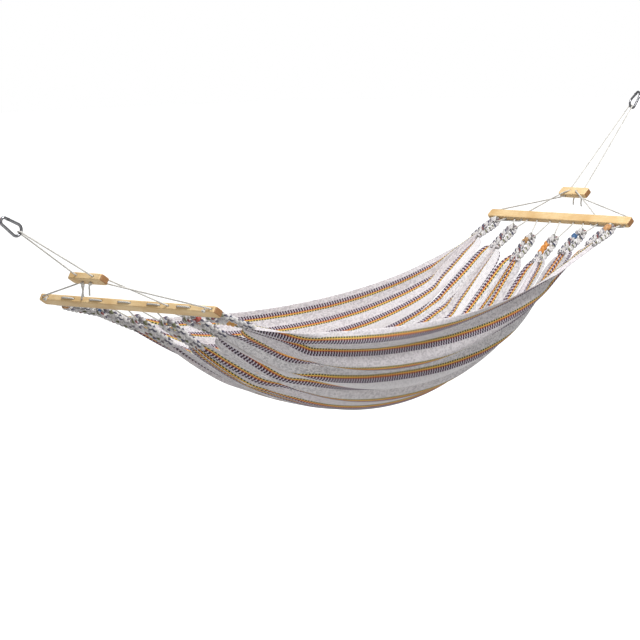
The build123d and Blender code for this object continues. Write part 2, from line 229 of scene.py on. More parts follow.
class Shader:
    """A short way to write a procedural material's node tree."""

    def __init__(self, name):
        self.material = bpy.data.materials.new(name)
        self.material.use_nodes = True
        self.tree = self.material.node_tree
        self.surface = self.tree.nodes["Principled BSDF"]

    def node(self, kind, **settings):
        node = self.tree.nodes.new("ShaderNode" + kind)
        for key, value in settings.items():
            setattr(node, key, value)
        return node

    def put(self, socket, value):
        if isinstance(value, bpy.types.NodeSocket):
            self.tree.links.new(value, socket)
        else:
            socket.default_value = value

    def math(self, operation, first, second=0.0, third=0.0):
        node = self.node("Math", operation=operation)
        for socket, value in zip(node.inputs, (first, second, third)):
            self.put(socket, value)
        return node.outputs[0]

    def mix(self, share, first, second, blend="MIX"):
        node = self.node("Mix", data_type="RGBA", blend_type=blend)
        self.put(node.inputs["Factor"], share)
        self.put(node.inputs[6], first)
        self.put(node.inputs[7], second)
        return node.outputs[2]

    def noise(self, vector, scale, detail=2.0, rough=0.5):
        node = self.node("TexNoise")
        self.put(node.inputs["Vector"], vector)
        self.put(node.inputs["Scale"], scale)
        self.put(node.inputs["Detail"], detail)
        self.put(node.inputs["Roughness"], rough)
        return node.outputs["Fac"]

    def ramp(self, value, low, high):
        node = self.node("MapRange", clamp=True)
        for socket, given in zip(node.inputs[:3], (value, low, high)):
            self.put(socket, given)
        return node.outputs[0]

    def palette(self, value, colours):
        """Picks one of the colours, each from its position on."""
        node = self.node("ValToRGB")
        node.color_ramp.interpolation = "CONSTANT"
        elements = node.color_ramp.elements
        while len(elements) < len(colours):
            elements.new(0.5)
        for element, (position, colour) in zip(elements, colours):
            element.position = position
            element.color = (*colour, 1)
        self.put(node.inputs[0], value)
        return node.outputs[0]

    def combine(self, x, y=0.0, z=0.0):
        node = self.node("CombineXYZ")
        for socket, value in zip(node.inputs, (x, y, z)):
            self.put(socket, value)
        return node.outputs[0]

    def uv(self):
        split = self.node("SeparateXYZ")
        self.tree.links.new(self.node("TexCoord").outputs["UV"], split.inputs[0])
        return split.outputs[0], split.outputs[1]

    def place(self):
        return self.node("TexCoord").outputs["Object"]

    def bump(self, height, distance, strength=1.0):
        node = self.node("Bump")
        self.put(node.inputs["Height"], height)
        self.put(node.inputs["Distance"], distance)
        self.put(node.inputs["Strength"], strength)
        return node.outputs[0]

    def finish(self, colour, roughness, normal=None, metallic=0.0, sheen=0.0):
        self.put(self.surface.inputs["Base Color"], colour)
        self.put(self.surface.inputs["Roughness"], roughness)
        self.put(self.surface.inputs["Metallic"], metallic)
        self.put(self.surface.inputs["Sheen Weight"], sheen)
        if normal is not None:
            self.put(self.surface.inputs["Normal"], normal)
        return self.material


def colour(red, green, blue):
    """sRGB 0 to 255 to a linear colour."""
    def linear(value):
        share = value / 255
        return share / 12.92 if share <= 0.04045 else ((share + 0.055) / 1.055) ** 2.4
    return (linear(red), linear(green), linear(blue))


def opaque(rgb):
    return (*rgb, 1.0)


def cord_material():
    """White laid cord: fine slanting fibres, a little dirt, and painted shade in the grooves between its
    strands.
    """
    s = Shader("white_cord")
    along, around = s.uv()
    slant = s.math("ADD", s.math("MULTIPLY", along, 3 / CORD_TWIST), s.math("MULTIPLY", around, 3.0))
    strands = s.math("PINGPONG", slant, 0.5)
    fibre = s.noise(s.combine(s.math("MULTIPLY", along, 500), s.math("MULTIPLY", around, 40)), 1.0, 3.0)
    dirt = s.noise(s.place(), 30.0, 3.0)
    base = s.mix(s.ramp(dirt, 0.35, 0.75), opaque(colour(214, 211, 205)), opaque(colour(184, 181, 174)))
    # painted shade: the grooves between the strands are darkened towards dark grey (108, 105, 100)
    groove_and_painted_shade = s.ramp(strands, 0.0, 0.16)
    base = s.mix(s.math("SUBTRACT", 1.0, groove_and_painted_shade), base, opaque(colour(108, 105, 100)))
    height = s.math("ADD", s.math("MULTIPLY", strands, 1.2), s.math("MULTIPLY", fibre, 0.5))
    return s.finish(base, 0.82, s.bump(height, 0.0005), sheen=0.3)


def wood_material():
    """Pale fine-sanded wood: long grain along Y, brown end grain at the rounded ends."""
    s = Shader("pale_wood")
    split = s.node("SeparateXYZ")
    s.tree.links.new(s.place(), split.inputs[0])
    x, y, z = split.outputs
    stretched = s.combine(s.math("MULTIPLY", x, 42), s.math("MULTIPLY", y, 3.2), s.math("MULTIPLY", z, 42))
    wave = s.noise(stretched, 1.0, 5.0, 0.62)
    rings = s.math("PINGPONG", s.math("MULTIPLY", wave, 9.0), 0.5)
    fibres = s.combine(s.math("MULTIPLY", x, 420), s.math("MULTIPLY", y, 14), s.math("MULTIPLY", z, 420))
    fine = s.noise(fibres, 1.0, 4.0, 0.6)
    patch = s.noise(s.place(), 9.0, 2.0)
    base = s.mix(s.ramp(rings, 0.0, 0.5), opaque(colour(222, 190, 138)), opaque(colour(236, 210, 164)))
    base = s.mix(s.ramp(patch, 0.35, 0.75), base, opaque(colour(206, 168, 112)))
    base = s.mix(s.math("MULTIPLY", s.ramp(fine, 0.5, 0.75), 0.35), base, opaque(colour(176, 132, 80)))
    normal = s.node("NewGeometry").outputs["Normal"]
    facing = s.node("SeparateXYZ")
    s.tree.links.new(normal, facing.inputs[0])
    end = s.ramp(s.math("ABSOLUTE", facing.outputs[1]), 0.50, 0.72)
    pores = s.noise(s.place(), 900.0, 2.0)
    end_grain = s.mix(s.ramp(pores, 0.4, 0.65), opaque(colour(162, 118, 74)), opaque(colour(112, 76, 44)))
    base = s.mix(end, base, end_grain)
    height = s.math("ADD", s.math("MULTIPLY", fine, 0.6), s.math("MULTIPLY", rings, 0.25))
    roughness = s.math("ADD", 0.42, s.math("MULTIPLY", wave, 0.22))
    return s.finish(base, roughness, s.bump(height, 0.0005, 0.6))


def steel_material(name, shade, roughness):
    """Bright zinc on drawn wire: faint streaks, small scuffs."""
    s = Shader(name)
    streak = s.noise(s.place(), 160.0, 4.0, 0.7)
    scuff = s.noise(s.place(), 900.0, 2.0)
    base = s.mix(s.ramp(streak, 0.35, 0.7), opaque(colour(shade, shade, shade + 2)),
                 opaque(colour(shade - 42, shade - 41, shade - 36)))
    rough = s.math("ADD", roughness, s.math("MULTIPLY", s.ramp(scuff, 0.45, 0.7), 0.18))
    return s.finish(base, rough, s.bump(scuff, 0.0002, 0.25), metallic=1.0)


# The yarns' colours, and where each starts on a scale of chance from 0 to 1.
YARNS = [
    (0.00, (216, 213, 212)), (0.22, (84, 78, 98)), (0.31, (204, 201, 202)), (0.46, (120, 113, 118)),
    (0.56, (226, 223, 220)), (0.71, (52, 54, 82)), (0.79, (190, 186, 188)), (0.88, (126, 60, 56)),
    (0.92, (214, 208, 206)), (0.955, (102, 104, 66)),
]
# One coloured wrap on some loops: its colour, and the share of the braid's length where it starts and ends.
ACCENTS = {
    ("right", 3): ((176, 132, 76), 0.42, 0.50), ("right", 4): ((226, 146, 44), 0.22, 0.44),
    ("right", 5): ((44, 96, 146), 0.36, 0.47), ("right", 6): ((206, 150, 90), 0.44, 0.56),
    ("left", 1): ((186, 132, 70), 0.52, 0.62), ("left", 2): ((44, 78, 122), 0.50, 0.58),
    ("left", 5): ((178, 60, 40), 0.40, 0.46), ("left", 6): ((214, 152, 56), 0.86, 1.00),
}
WRAP_OFFSET = 0.015         # the mean of the noise that makes a wrap's edges ragged


def yarn_material(name, accent, strand_length):
    """Many marled yarns twisted together, with painted shade in the grooves between them; UV x is metres
    along, y is turns around.
    """
    s = Shader(name)
    along, around = s.uv()
    lay = s.math("ADD", s.math("MULTIPLY", along, 26.0), around)
    yarn = s.math("FLOOR", s.math("MULTIPLY", lay, 4.0))
    piece = s.math("FLOOR", s.math("MULTIPLY", along, 19.0))
    white = s.node("TexWhiteNoise", noise_dimensions="3D")
    s.put(white.inputs["Vector"], s.combine(yarn, piece, 0.37))
    base = s.palette(white.outputs["Value"], [(at, colour(*rgb)) for at, rgb in YARNS])
    if accent is not None:
        rgb, first, last = accent
        ragged = s.math("ADD", along, s.math("MULTIPLY", s.noise(s.combine(lay, 0.2), 1.0), 0.03))
        wrapped = s.math("MULTIPLY", s.math("GREATER_THAN", ragged, first * strand_length + WRAP_OFFSET),
                         s.math("LESS_THAN", ragged, last * strand_length + WRAP_OFFSET))
        base = s.mix(wrapped, base, opaque(colour(*rgb)))
    fleck = s.noise(s.combine(s.math("MULTIPLY", along, 900), s.math("MULTIPLY", lay, 90)), 1.0, 3.0)
    base = s.mix(s.math("MULTIPLY", s.ramp(fleck, 0.45, 0.7), 0.28), base, opaque(colour(130, 124, 126)))
    # painted shade: the grooves between the yarns are darkened towards dark grey (76, 72, 76); the same mask
    # also makes the bump
    groove_and_painted_shade = s.ramp(s.math("PINGPONG", s.math("MULTIPLY", lay, 8.0), 0.5), 0.0, 0.22)
    base = s.mix(s.math("MULTIPLY", s.math("SUBTRACT", 1.0, groove_and_painted_shade), 0.32), base, opaque(colour(76, 72, 76)))
    height = s.math("ADD", groove_and_painted_shade, s.math("MULTIPLY", fleck, 0.5))
    return s.finish(base, 0.88, s.bump(height, 0.0009), sheen=0.35)


# Each stripe group across the cloth, in metres from its start: where each thread begins.
GREEN_DASH = 0.0000
ORANGE_LINE = 0.0060
RED_DASH = 0.0100
PURPLE_BAND = 0.0146
PURPLE_OFFSET = 0.0222      # the band's second row of ticks
GROUND = 0.0298
OFFSET_STEP = 0.55          # how far the second row stands along from the first, in ribs
RIB_PITCH = 0.0074          # a tick and its gap take two ribs
THREAD_PITCH = 0.0042
WAVER = 0.003               # how far the stripes wander


def cloth_material():
    """Ribbed weave with stripe groups and painted shade between its ribs; UV x is metres along the cloth, y
    is metres across it.
    """
    s = Shader("striped_cloth")
    along, across = s.uv()
    share = s.math("DIVIDE", across, CLOTH_WIDTH)
    crowded = s.math("MULTIPLY", s.math("POWER", share, 3.0), STRIPE_CROWDING)
    drift = s.noise(s.combine(s.math("MULTIPLY", along, 9), across), 1.0)
    waver = s.math("MULTIPLY", s.math("SUBTRACT", drift, 0.5), WAVER)
    side = s.math("ADD", s.math("ADD", across, crowded), s.math("SUBTRACT", waver, STRIPE_START))
    group = s.math("FLOOR", s.math("DIVIDE", side, STRIPE_PITCH))
    local = s.math("SUBTRACT", side, s.math("MULTIPLY", group, STRIPE_PITCH))
    half_turn = s.math("FRACT", s.math("DIVIDE", along, 2 * RIB_PITCH))

    def band(start, end):
        return s.math("MULTIPLY", s.math("GREATER_THAN", local, start), s.math("LESS_THAN", local, end))

    def ticks(step, duty):
        place_of = s.math("ADD", along, step)
        return s.math("LESS_THAN", s.math("FRACT", s.math("DIVIDE", place_of, 2 * RIB_PITCH)), duty)

    rib = s.math("PINGPONG", s.math("DIVIDE", along, RIB_PITCH), 0.5)
    thread = s.math("PINGPONG", s.math("DIVIDE", across, THREAD_PITCH), 0.5)
    cell = s.node("TexWhiteNoise", noise_dimensions="3D")
    row = s.math("FLOOR", s.math("DIVIDE", across, THREAD_PITCH))
    shifted = s.math("ADD", s.math("DIVIDE", along, RIB_PITCH), s.math("MULTIPLY", row, 0.37))
    s.put(cell.inputs["Vector"], s.combine(s.math("FLOOR", shifted), row, 0.1))
    speck = cell.outputs["Value"]
    grain = s.noise(s.combine(s.math("MULTIPLY", along, 420), s.math("MULTIPLY", across, 620)), 1.0, 3.0, 0.7)
    marl = s.mix(s.ramp(speck, 0.30, 1.0), opaque(colour(216, 213, 214)), opaque(colour(168, 165, 168)))
    marl = s.mix(s.math("MULTIPLY", s.ramp(grain, 0.45, 0.70), 0.32), marl, opaque(colour(136, 132, 136)))
    tint = s.noise(s.combine(group, 0.0, 0.3), 3.7)
    warm = s.mix(0.35, marl, opaque(colour(206, 194, 200)))
    base = s.mix(s.ramp(tint, 0.40, 0.60), marl, warm)
    pale = s.math("GREATER_THAN", s.math("FRACT", s.math("MULTIPLY", group, 0.291)), 0.72)
    base = s.mix(s.math("MULTIPLY", pale, 0.5), base, opaque(colour(222, 220, 221)))

    either = s.math("GREATER_THAN", speck, 0.5)
    dark_thread = s.mix(either, opaque(colour(32, 22, 42)), opaque(colour(66, 30, 50)))
    for start, end, step in ((PURPLE_BAND, PURPLE_OFFSET, 0.0), (PURPLE_OFFSET, GROUND, OFFSET_STEP)):
        purple = s.mix(ticks(step * RIB_PITCH, 0.62), opaque(colour(196, 188, 198)), dark_thread)
        base = s.mix(band(start, end), base, purple)
    red = s.mix(ticks(0.0, 0.66), opaque(colour(196, 140, 100)), opaque(colour(116, 22, 34)))
    base = s.mix(band(RED_DASH, PURPLE_BAND), base, red)
    along_tone = s.noise(s.combine(s.math("MULTIPLY", along, 3), group), 1.0)
    orange = s.mix(s.ramp(along_tone, 0.40, 0.60), opaque(colour(222, 138, 44)), opaque(colour(232, 182, 66)))
    orange = s.mix(s.math("MULTIPLY", s.math("GREATER_THAN", half_turn, 0.80), 0.55), orange,
                   opaque(colour(120, 66, 32)))
    base = s.mix(band(ORANGE_LINE, RED_DASH), base, orange)
    green = s.mix(ticks(0.0, 0.62), opaque(colour(206, 190, 120)), opaque(colour(44, 52, 16)))
    base = s.mix(band(GREEN_DASH, ORANGE_LINE), base, green)

    # painted shade: the grooves between the ribs are darkened towards dark grey (60, 56, 62)
    groove_and_painted_shade = s.math("SUBTRACT", 1.0, s.ramp(rib, 0.0, 0.18))
    base = s.mix(s.math("MULTIPLY", groove_and_painted_shade, 0.22), base, opaque(colour(60, 56, 62)))
    height = s.math("ADD", s.math("SQRT", rib),
                    s.math("ADD", s.math("MULTIPLY", thread, 0.5), s.math("MULTIPLY", grain, 0.4)))
    return s.finish(base, 0.9, s.bump(height, 0.0013), sheen=0.15)


def floor_material():
    """Even pale floor; its glow reaches the camera but doesn't light the hammock."""
    s = Shader("pale_floor")
    cloud = s.noise(s.place(), 0.8, 2.0)
    base = s.mix(cloud, opaque(colour(206, 206, 205)), opaque(colour(212, 212, 212)))
    s.surface.inputs["Emission Color"].default_value = (1, 1, 1, 1)
    glow = s.math("MULTIPLY", s.node("LightPath").outputs["Is Camera Ray"], FLOOR_GLOW)
    s.put(s.surface.inputs["Emission Strength"], glow)
    return s.finish(base, 0.9)


# ================================================================ lines and tubes

def smooth_line(points, step):
    """Points along the NURBS curve through this route's control points, evenly spaced."""
    data = bpy.data.curves.new("route", "CURVE")
    data.dimensions = "3D"
    spline = data.splines.new("NURBS")
    spline.points.add(len(points) - 1)
    for point, place_of in zip(spline.points, points):
        point.co = (*place_of, 1)
    spline.order_u = 3
    spline.use_endpoint_u = True
    spline.resolution_u = 12
    holder = bpy.data.objects.new("route", data)
    bpy.context.scene.collection.objects.link(holder)
    mesh = bpy.data.meshes.new_from_object(holder)
    line = [v.co.copy() for v in mesh.vertices]
    bpy.data.objects.remove(holder)
    bpy.data.curves.remove(data)
    bpy.data.meshes.remove(mesh)
    return evenly(line, step)


def evenly(line, step):
    """The same line with its points a step apart."""
    points = np.array([tuple(p) for p in line])
    lengths = np.linalg.norm(np.diff(points, axis=0), axis=1)
    keep = np.concatenate(([True], lengths > 1e-9))
    points = points[keep]
    at = np.concatenate(([0], np.cumsum(np.linalg.norm(np.diff(points, axis=0), axis=1))))
    count = max(2, int(round(at[-1] / step)) + 1)
    places = np.linspace(0, at[-1], count)
    return np.stack([np.interp(places, at, points[:, i]) for i in range(3)], axis=1)


def carried_frames(line, first_side):
    """Two directions across the line at each point, carried along it without twist."""
    ahead = np.gradient(line, axis=0)
    ahead /= np.linalg.norm(ahead, axis=1)[:, None]
    side = np.array(first_side, float)
    sides = []
    for direction in ahead:
        side = side - direction * side.dot(direction)
        side /= np.linalg.norm(side)
        sides.append(side.copy())
    sides = np.array(sides)
    return sides, np.cross(ahead, sides)


def tube_mesh(name, line, radius, lobes, lobe_depth, twist, around=15, first_side=(0, 0, 1)):
    """A closed tube whose section has twisting lobes. UV x is metres along it, y is turns around."""
    sides, ups = carried_frames(line, first_side)
    at = np.concatenate(([0], np.cumsum(np.linalg.norm(np.diff(line, axis=0), axis=1))))
    angles = np.arange(around) * 2 * math.pi / around
    turn = 2 * math.pi * at / twist
    phase = lobes * (angles[None, :] - turn[:, None]) / 2
    reach = radius * (1 - lobe_depth + lobe_depth * np.abs(np.cos(phase)))
    cosines = np.cos(angles)[None, :, None]
    sines = np.sin(angles)[None, :, None]
    ring = sides[:, None, :] * cosines + ups[:, None, :] * sines
    points = line[:, None, :] + ring * reach[:, :, None]
    count = len(line)
    vertices = [tuple(p) for p in points.reshape(-1, 3)]
    faces = []
    for row in range(count - 1):
        for column in range(around):
            after = (column + 1) % around
            faces.append((row * around + column, row * around + after,
                          (row + 1) * around + after, (row + 1) * around + column))
    faces.append(tuple(range(around - 1, -1, -1)))
    faces.append(tuple((count - 1) * around + column for column in range(around)))
    mesh = bpy.data.meshes.new(name)
    mesh.from_pydata(vertices, [], faces)
    layer = mesh.uv_layers.new(name="UVMap")
    for polygon in mesh.polygons:
        for loop, corner in zip(polygon.loop_indices, polygon.vertices):
            column = corner % around
            if column == 0 and any(c % around == around - 1 for c in polygon.vertices):
                column = around
            layer.data[loop].uv = (at[corner // around], column / around)
    mesh.polygons.foreach_set("use_smooth", [True] * len(mesh.polygons))
    return mesh


def add_object(name, mesh, material):
    piece = bpy.data.objects.new(name, mesh)
    bpy.context.scene.collection.objects.link(piece)
    mesh.materials.append(material)
    return piece


def joined(name, meshes, material):
    """Several meshes as one piece."""
    whole = bmesh.new()
    for mesh in meshes:
        whole.from_mesh(mesh)
    result = bpy.data.meshes.new(name)
    whole.to_mesh(result)
    whole.free()
    result.polygons.foreach_set("use_smooth", [True] * len(result.polygons))
    return add_object(name, result, material)


# ================================================================ camera, light and floor

def add_camera():
    level = math.cos(CAMERA_PITCH)
    forward = Vector((math.sin(CAMERA_YAW) * level, math.cos(CAMERA_YAW) * level, -math.sin(CAMERA_PITCH)))
    right = Vector((math.cos(CAMERA_YAW), -math.sin(CAMERA_YAW), 0))
    up = right.cross(forward)
    turned_right = right * math.cos(CAMERA_ROLL) + up * math.sin(CAMERA_ROLL)
    turned_up = up * math.cos(CAMERA_ROLL) - right * math.sin(CAMERA_ROLL)
    data = bpy.data.cameras.new("camera")
    data.lens = CAMERA_LENS
    data.sensor_width = 36
    data.clip_end = 200
    camera = bpy.data.objects.new("camera", data)
    bpy.context.scene.collection.objects.link(camera)
    stand = BAR["left"] + CAMERA_FROM_BAR
    rows = [[turned_right[i], turned_up[i], -forward[i], stand[i]] for i in range(3)]
    camera.matrix_world = Matrix(rows + [[0, 0, 0, 1]])
    bpy.context.scene.camera = camera


def add_area_light(name, place_of, target, size, power):
    data = bpy.data.lights.new(name, "AREA")
    data.energy = power
    data.size = size
    lamp = bpy.data.objects.new(name, data)
    bpy.context.scene.collection.objects.link(lamp)
    lamp.location = place_of
    lamp.rotation_euler = (Vector(target) - Vector(place_of)).to_track_quat("-Z", "Y").to_euler()


def add_world():
    """Even white light all round; the camera itself sees a white backdrop."""
    world = bpy.data.worlds.new("studio")
    world.use_nodes = True
    tree = world.node_tree
    lit = tree.nodes["Background"]
    lit.inputs["Color"].default_value = (1, 1, 1, 1)
    lit.inputs["Strength"].default_value = AMBIENT
    seen = tree.nodes.new("ShaderNodeBackground")
    seen.inputs["Color"].default_value = (1, 1, 1, 1)
    seen.inputs["Strength"].default_value = BACKDROP
    path = tree.nodes.new("ShaderNodeLightPath")
    either = tree.nodes.new("ShaderNodeMixShader")
    tree.links.new(path.outputs["Is Camera Ray"], either.inputs["Fac"])
    tree.links.new(lit.outputs[0], either.inputs[1])
    tree.links.new(seen.outputs[0], either.inputs[2])
    tree.links.new(either.outputs[0], tree.nodes["World Output"].inputs["Surface"])
    bpy.context.scene.world = world


def add_light_and_floor():
    add_world()
    bpy.context.scene.view_settings.view_transform = "Standard"
    centre = (cad_low + cad_high) / 2
    add_area_light("key_light", centre + KEY_PLACE, centre, KEY_SIZE, KEY_POWER)
    add_area_light("fill_light", centre + FILL_PLACE, centre, FILL_SIZE, FILL_POWER)
    bpy.ops.mesh.primitive_plane_add(size=160, location=(centre.x, centre.y, cad_low.z - FLOOR_DROP))
    floor = bpy.context.object
    floor.name = "floor"
    floor.data.materials.append(floor_material())


# ================================================================ cords

def cord_piece(name, route, material, first_side=(0, 1, 0.2)):
    """A laid cord along a route, as a mesh; gives the piece and the line that it follows."""
    line = smooth_line(route, LINE_STEP)
    mesh = tube_mesh(name, line, CORD / 2, 3, 0.16, CORD_TWIST, first_side=first_side)
    return add_object(name, mesh, material), line


def add_hanging_cord(side, material):
    """The bight in the hook and its two strands, down into the tensioner's holes."""
    block = wood_frame(side, BAR_TO_TENSIONER[side])
    hook = hook_frame(side)
    mouth = BAR_DEPTH / 2 + 0.004

    def strand(hand):
        return [block @ Vector((0, hand * TENSIONER_HOLE, 0)),
                block @ Vector((mouth, hand * TENSIONER_HOLE, 0)),
                hook @ Vector((-0.030, hand * SEAT * 1.15, 0)), hook @ Vector((0.002, hand * SEAT, 0)),
                hook @ Vector((SEAT * 0.95, hand * SEAT * 0.75, 0))]

    route = strand(-1) + strand(1)[::-1]
    piece, line = cord_piece(f"{side}_hanging_cord_rope", route, material, (0, 0, 1))
    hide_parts(f"{side}_hanging_cord")
    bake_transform(piece)


def add_fan_cord(side, hand, label, material):
    """Tensioner, the bar's outer hole, along the bar's inner face, its inner hole, and back."""
    block = wood_frame(side, BAR_TO_TENSIONER[side])
    bar = wood_frame(side)
    half = BAR_DEPTH / 2
    face = half + CORD / 2 + 0.0006
    over = BAR_THICKNESS / 2 + CORD / 2 + 0.0012
    edge = half + 0.001
    lean = (FAN_HOLE_INNER - KNOT_HOLE) / (BAR_TO_TENSIONER[side] - half)
    out_lean = (FAN_HOLE_OUTER - TENSIONER_HOLE) / (BAR_TO_TENSIONER[side] - 2 * face)
    beside = -CORD - 0.0025

    def on_bar(x, y, z):
        return bar @ Vector((x, hand * y, z))

    def on_block(x, y, z):
        return block @ Vector((x, hand * y, z))

    route = [
        on_block(0, TENSIONER_HOLE, 0), on_block(-half + 0.001, TENSIONER_HOLE, 0),
        on_block(-face - 0.002, TENSIONER_HOLE + 0.003 * out_lean, 0),
        on_bar(face + 0.002, FAN_HOLE_OUTER - 0.003 * out_lean, 0), on_bar(half - 0.001, FAN_HOLE_OUTER, 0),
        on_bar(-half + 0.002, FAN_HOLE_OUTER, 0), on_bar(-face - 0.0006, FAN_HOLE_OUTER - 0.003, -0.0015),
        on_bar(-face, FAN_HOLE_OUTER - 0.014, beside), on_bar(-face, FAN_HOLE_INNER + 0.014, beside),
        on_bar(-face - 0.0006, FAN_HOLE_INNER + 0.003, -0.0015), on_bar(-half + 0.002, FAN_HOLE_INNER, 0),
        on_bar(half - 0.001, FAN_HOLE_INNER, 0), on_bar(face + 0.004, FAN_HOLE_INNER - 0.006 * lean, 0.0005),
        on_block(-edge, KNOT_HOLE + edge * lean, over), on_block(-0.006, KNOT_HOLE + 0.002, over),
        on_block(-0.0005, KNOT_HOLE, over - 0.0022), on_block(0, KNOT_HOLE, BAR_THICKNESS / 2 - 0.007),
    ]
    piece, line = cord_piece(f"{side}_fan_cord_{label}_rope", route, material)
    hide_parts(f"{side}_fan_cord_{label}")
    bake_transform(piece)


def overhand_knot(centre, turn, size):
    """A tied lump: a trefoil curve drawn tight, as a closed run of cord."""
    steps = 90
    line = []
    for step in range(steps + 1):
        t = 2 * math.pi * step / steps
        local = Vector((math.sin(t) + 2 * math.sin(2 * t), math.cos(t) - 2 * math.cos(2 * t),
                        -1.35 * math.sin(3 * t)))
        line.append(tuple(centre + turn @ (local * size)))
    line = evenly(line, KNOT_STEP)
    return tube_mesh("knot", line, CORD / 2, 3, 0.14, CORD_TWIST, first_side=(0.3, 0.2, 1))


def add_tensioner_knots(side, material):
    """Under the tensioner: two knots, and a short frayed tail from each."""
    block = wood_frame(side, BAR_TO_TENSIONER[side])
    below = BAR_THICKNESS / 2
    down = -block.to_3x3().col[2]
    for hand, label in ((-1, "a"), (1, "b")):
        top = block @ Vector((0, hand * KNOT_HOLE, below - 0.0072))
        centre = block @ Vector((0, hand * KNOT_HOLE, -below - 0.0069))
        through = evenly([top, centre], 0.002)
        shank = tube_mesh("shank", through, CORD / 2, 3, 0.16, CORD_TWIST, first_side=(0, 1, 0))
        lump = overhand_knot(centre, Matrix.Rotation(0.6 * hand, 3, "Z"), TENSIONER_KNOT_SIZE)
        knot = joined(f"{side}_tensioner_knot_{label}", [shank, lump], material)
        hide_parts(f"{side}_tensioner_knots")
        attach(knot, f"{side}_tensioner")
        start = centre + down * 0.003
        reach = TAIL_LENGTH[label]
        tail_route = [start, start + down * 0.006 + Vector((0, hand * 0.002, -0.003)),
                      start + Vector((0.001, hand * 0.004, -0.45 * reach)),
                      start + Vector((-0.001, hand * 0.003, -0.75 * reach)),
                      start + Vector((0.001, hand * 0.005, -reach))]
        tail, line = cord_piece(f"{side}_tensioner_tail_{label}", tail_route, material)
        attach(tail, f"{side}_tensioner")


def add_lacing_cord(side, material):
    """One cord laced along the bar, in through a hole, round a loop's eye, and back out."""
    bar = wood_frame(side)
    half = BAR_DEPTH / 2
    face = half + CORD / 2 + 0.0006
    turn = 0.011
    route = [(face, -LACING_END_HOLE, -END_DROP), (face, -LACING_END_HOLE, -0.004)]
    order = range(LOOPS_PER_END, 0, -1) if side == "right" else range(1, LOOPS_PER_END + 1)
    for number in order:
        y = OUTWARD[side] * loop_side(number)
        eye = bar.inverted() @ eye_frame(side, number).translation
        holes = [max(-LACING_END_HOLE, min(LACING_END_HOLE, y + hand * LACING_HALF_SPREAD))
                 for hand in (-1, 1)]
        spread = [(y - turn) - holes[0], holes[1] - (y + turn)]
        drop = -half - eye.x
        if number != order[0]:
            route.append((face, holes[0] - 0.004, 0))
        route += [
            (half - 0.0015, holes[0], 0),
            (-half + 0.0005, holes[0], 0),
            (-half - 0.12 * drop, holes[0] + 0.10 * spread[0], 0.10 * eye.z),
            (eye.x + 0.12 * drop, y - turn - 0.10 * spread[0], 0.90 * eye.z),
            (eye.x - 0.0005, y - turn + 0.004, eye.z),
            (eye.x - 0.0005, y + turn - 0.004, eye.z),
            (eye.x + 0.12 * drop, y + turn + 0.10 * spread[1], 0.90 * eye.z),
            (-half - 0.12 * drop, holes[1] - 0.10 * spread[1], 0.10 * eye.z),
            (-half + 0.0005, holes[1], 0),
            (half - 0.0015, holes[1], 0),
        ]
        if number != order[-1]:
            route.append((face, holes[1] + 0.004, 0))
    route += [(face, LACING_END_HOLE, -0.004), (face, LACING_END_HOLE, -END_DROP)]
    route = [bar @ Vector(p) for p in route]
    piece, line = cord_piece(f"{side}_lacing_rope", route, material)
    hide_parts(f"{side}_lacing_cord")
    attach(piece, "hammock")
    for hand, label in ((-1, "a"), (1, "b")):
        centre = bar @ Vector((half + 0.0062, hand * LACING_END_HOLE, -END_DROP))
        mesh = overhand_knot(centre, Matrix.Rotation(0.4, 3, "X"), LACING_KNOT_SIZE)
        knot = add_object(f"{side}_lacing_knot_{label}", mesh, material)
        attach(knot, "hammock")


# ================================================================ wood and steel

def add_spring(side, material):
    """The gate's spring from the CAD, copied as it stands."""
    coil = frame["nodes"][f"{side}_gate_spring"]
    mesh = coil.data.copy()
    mesh.transform(coil.matrix_world)
    mesh.materials.clear()
    piece = add_object(f"{side}_closing_spring", mesh, material)
    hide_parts(f"{side}_gate_spring")
    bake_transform(piece)


def finish_wood_and_steel():
    wood = wood_material()
    steel = steel_material("zinc_steel", 158, 0.22)
    pin_steel = steel_material("rivet_steel", 170, 0.32)
    for side in SIDES:
        for node, material in ((f"{side}_spreader_bar", wood), (f"{side}_tensioner", wood),
                               (f"{side}_snap_hook", steel), (f"{side}_hook_gate", steel),
                               (f"{side}_gate_pin", pin_steel)):
            piece = frame["nodes"][node]
            piece.data.materials.clear()
            piece.data.materials.append(material)
        add_spring(side, pin_steel)


# ================================================================ braided loops

def braid_meshes(name, line, first_side, seed):
    """Three strands plaited flat about a line."""
    sides, ups = carried_frames(line, first_side)
    at = np.concatenate(([0], np.cumsum(np.linalg.norm(np.diff(line, axis=0), axis=1))))
    chance = random.Random(seed)
    drift = chance.uniform(0, 6)
    meshes = []
    for strand in range(3):
        phase = 2 * math.pi * strand / 3
        wave = 2 * math.pi * at / BRAID_TURN + phase
        swing = BRAID_SWING * (1 + 0.12 * np.sin(at * 90 + drift + strand))
        sideways = (swing * np.sin(wave))[:, None]
        upward = (BRAID_DEPTH * np.sin(2 * wave))[:, None]
        path = line + sides * sideways + ups * upward
        mesh = tube_mesh(name, path, STRAND_RADIUS, 5, 0.16, 0.045, around=20, first_side=first_side)
        for corner in mesh.uv_layers[0].data:
            corner.uv = (corner.uv[0], corner.uv[1] + 7 * strand)
        meshes.append(mesh)
    return meshes


